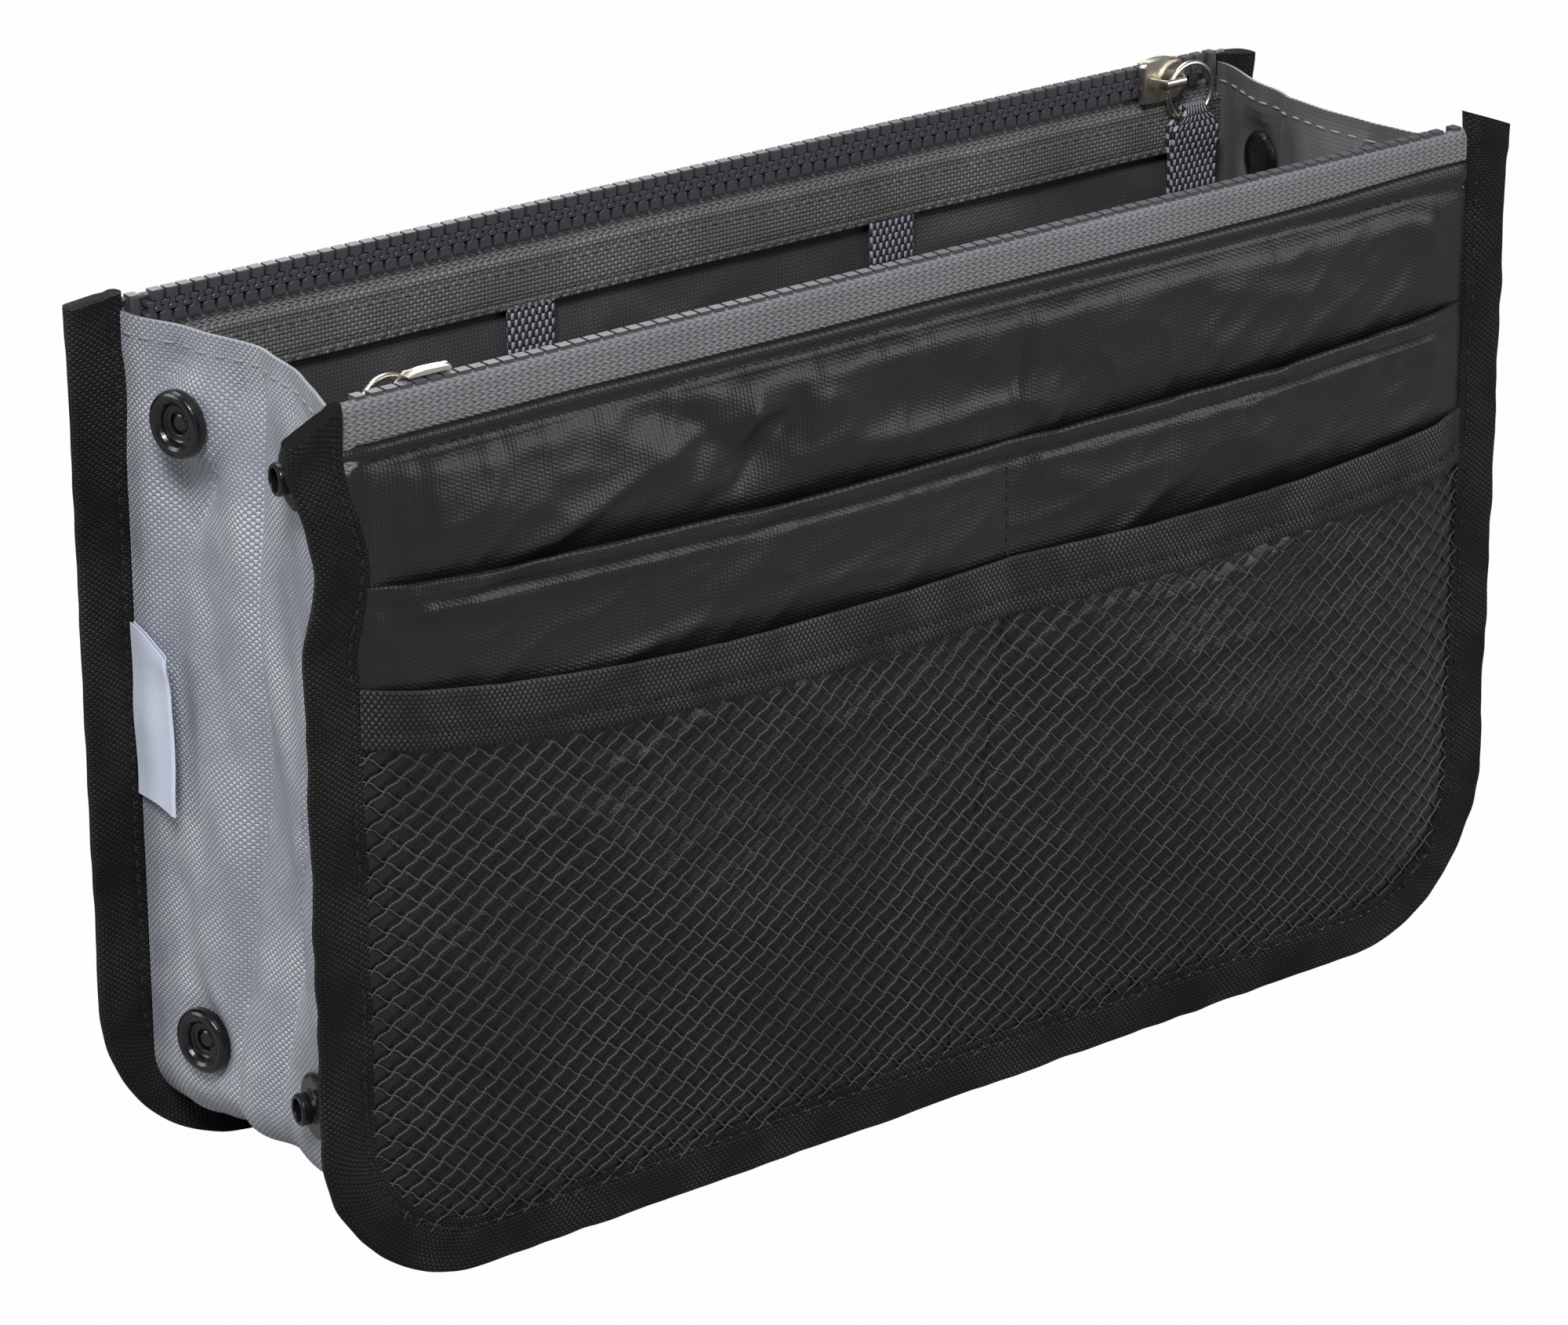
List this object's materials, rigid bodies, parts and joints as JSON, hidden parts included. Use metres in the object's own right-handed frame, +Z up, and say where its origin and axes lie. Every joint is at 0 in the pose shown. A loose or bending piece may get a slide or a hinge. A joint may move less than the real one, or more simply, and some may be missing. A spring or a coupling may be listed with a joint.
{
  "type": "purse organizer insert",
  "caption": "Open-topped fabric organizer insert with two zipped panels, slip and net pockets, swinging handles and a pleated gusset that folds flat.",
  "frame": {"origin": "on the ground under the middle of the organizer", "axes": "+Z up, +X along the panels to the right seen from the front, +Y towards the rear panel"},
  "size_m": [0.28, 0.0938, 0.1693],
  "materials": {
    "satin": "satin-weave lining nylon",
    "lining": "satin-weave nylon",
    "binding": "ribbed tape",
    "net": "knitted net",
    "band": "ribbed tape",
    "zip_tape": "woven tape",
    "zip_teeth": "moulded plastic",
    "lining_band": "woven tape",
    "gusset": "coated basket weave",
    "webbing": "two-tone webbing",
    "snap_plastic": "gloss",
    "label": "bare woven ribbon",
    "metal": "pale plated metal"
  },
  "bodies": {
    "rear_panel": {"rear_binding": "binding", "rear_outer_wall": "satin", "rear_lining_wall": "lining", "rear_slip_pocket": "satin", "rear_net_pocket": "net", "rear_net_band": "band", "rear_zip_outer_tape": "zip_tape", "rear_zip_inner_tape": "zip_tape", "rear_zip_outer_teeth": "zip_teeth", "rear_zip_inner_teeth": "zip_teeth", "rear_lining_band": "lining_band", "rear_gusset_return": "gusset", "label_tab": "label", "left_corner": "gusset", "right_corner": "gusset"},
    "front_panel": {"front_binding": "binding", "front_outer_wall": "satin", "front_lining_wall": "lining", "front_slip_pocket": "satin", "front_net_pocket": "net", "front_net_band": "band", "front_zip_outer_tape": "zip_tape", "front_zip_inner_tape": "zip_tape", "front_zip_outer_teeth": "zip_teeth", "front_zip_inner_teeth": "zip_teeth", "front_lining_band": "lining_band", "front_gusset_return": "gusset"},
    "left_rear_leaf": {"left_leaf_rear": "gusset", "left_upper_snap_socket": "snap_plastic", "left_upper_snap_socket_cap": "snap_plastic", "left_lower_snap_socket": "snap_plastic", "left_lower_snap_socket_cap": "snap_plastic"},
    "left_front_leaf": {"left_leaf_front": "gusset", "left_upper_snap_stud": "snap_plastic", "left_upper_snap_stud_cap": "snap_plastic", "left_lower_snap_stud": "snap_plastic", "left_lower_snap_stud_cap": "snap_plastic"},
    "right_rear_leaf": {"right_leaf_rear": "gusset", "right_upper_snap_socket": "snap_plastic", "right_upper_snap_socket_cap": "snap_plastic", "right_lower_snap_socket": "snap_plastic", "right_lower_snap_socket_cap": "snap_plastic"},
    "right_front_leaf": {"right_leaf_front": "gusset", "right_upper_snap_stud": "snap_plastic", "right_upper_snap_stud_cap": "snap_plastic", "right_lower_snap_stud": "snap_plastic", "right_lower_snap_stud_cap": "snap_plastic"},
    "bottom_rear_leaf": {"bottom_leaf_rear": "gusset"},
    "rear_slider": {"rear_zip_slider": "metal"},
    "rear_ring": {"rear_pull_ring": "metal"},
    "rear_tab": {"rear_pull_tab": "webbing"},
    "rear_handle": {"rear_handle": "webbing"},
    "bottom_front_leaf": {"bottom_leaf_front": "gusset"},
    "front_slider": {"front_zip_slider": "metal"},
    "front_ring": {"front_pull_ring": "metal"},
    "front_tab": {"front_pull_tab": "webbing"},
    "front_handle": {"front_handle": "webbing"}
  },
  "joints": [
    {"name": "left_seam_fold", "type": "hinge", "parent": "rear_panel", "child": "left_rear_leaf", "pos_m": [-0.129, 0.027, 0], "axis": [0, 0, 1], "range_deg": [0, 66]},
    {"name": "left_crease_fold", "type": "hinge", "parent": "left_rear_leaf", "child": "left_front_leaf", "pos_m": [-0.12424, 0, 0], "axis": [0, 0, -1], "range_deg": [0, 132], "deforming": ["left_corner", "right_corner"]},
    {"name": "front_panel_fold", "type": "hinge", "parent": "left_front_leaf", "child": "front_panel", "pos_m": [-0.129, -0.027, 0], "axis": [0, 0, 1], "range_deg": [0, 66]},
    {"name": "right_seam_fold", "type": "hinge", "parent": "rear_panel", "child": "right_rear_leaf", "pos_m": [0.129, 0.027, 0], "axis": [0, 0, -1], "range_deg": [0, 66]},
    {"name": "right_crease_fold", "type": "hinge", "parent": "right_rear_leaf", "child": "right_front_leaf", "pos_m": [0.12424, 0, 0], "axis": [0, 0, 1], "range_deg": [0, 132]},
    {"name": "bottom_seam_fold", "type": "hinge", "parent": "rear_panel", "child": "bottom_rear_leaf", "pos_m": [0, 0.027, 0.011], "axis": [-1, 0, 0], "range_deg": [0, 66]},
    {"name": "bottom_crease_fold", "type": "hinge", "parent": "bottom_rear_leaf", "child": "bottom_front_leaf", "pos_m": [0, 0, 0.01576], "axis": [1, 0, 0], "range_deg": [0, 132]},
    {"name": "rear_zip_slide", "type": "slide", "parent": "rear_panel", "child": "rear_slider", "axis": [-1, 0, 0], "range_m": [0, 0.22]},
    {"name": "rear_ring_swing", "type": "hinge", "parent": "rear_slider", "child": "rear_ring", "pos_m": [0.11293, 0.0302, 0], "axis": [0, 0, -1], "range_deg": [0, 170]},
    {"name": "rear_tab_swing", "type": "hinge", "parent": "rear_ring", "child": "rear_tab", "pos_m": [0.118, 0.0302, 0.1566], "axis": [1, 0, 0], "range_deg": [-40, 0]},
    {"name": "rear_handle_swing", "type": "hinge", "parent": "rear_panel", "child": "rear_handle", "pos_m": [0, 0.0319, 0.1487], "axis": [-1, 0, 0], "range_deg": [0, 176]},
    {"name": "front_zip_slide", "type": "slide", "parent": "front_panel", "child": "front_slider", "axis": [1, 0, 0], "range_m": [0, 0.22]},
    {"name": "front_ring_swing", "type": "hinge", "parent": "front_slider", "child": "front_ring", "pos_m": [-0.11293, -0.0302, 0], "axis": [0, 0, -1], "range_deg": [0, 170]},
    {"name": "front_tab_swing", "type": "hinge", "parent": "front_ring", "child": "front_tab", "pos_m": [-0.118, -0.0302, 0.1566], "axis": [-1, 0, 0], "range_deg": [-40, 0]},
    {"name": "front_handle_swing", "type": "hinge", "parent": "front_panel", "child": "front_handle", "pos_m": [0, -0.0319, 0.1487], "axis": [1, 0, 0], "range_deg": [0, 176]}
  ],
  "couplings": [
    {"joint": "left_seam_fold", "follows": "left_crease_fold", "ratio": 0.5},
    {"joint": "front_panel_fold", "follows": "left_crease_fold", "ratio": 0.5},
    {"joint": "right_seam_fold", "follows": "left_crease_fold", "ratio": 0.5},
    {"joint": "right_crease_fold", "follows": "left_crease_fold", "ratio": 1},
    {"joint": "bottom_seam_fold", "follows": "left_crease_fold", "ratio": 0.5},
    {"joint": "bottom_crease_fold", "follows": "left_crease_fold", "ratio": 1}
  ]
}
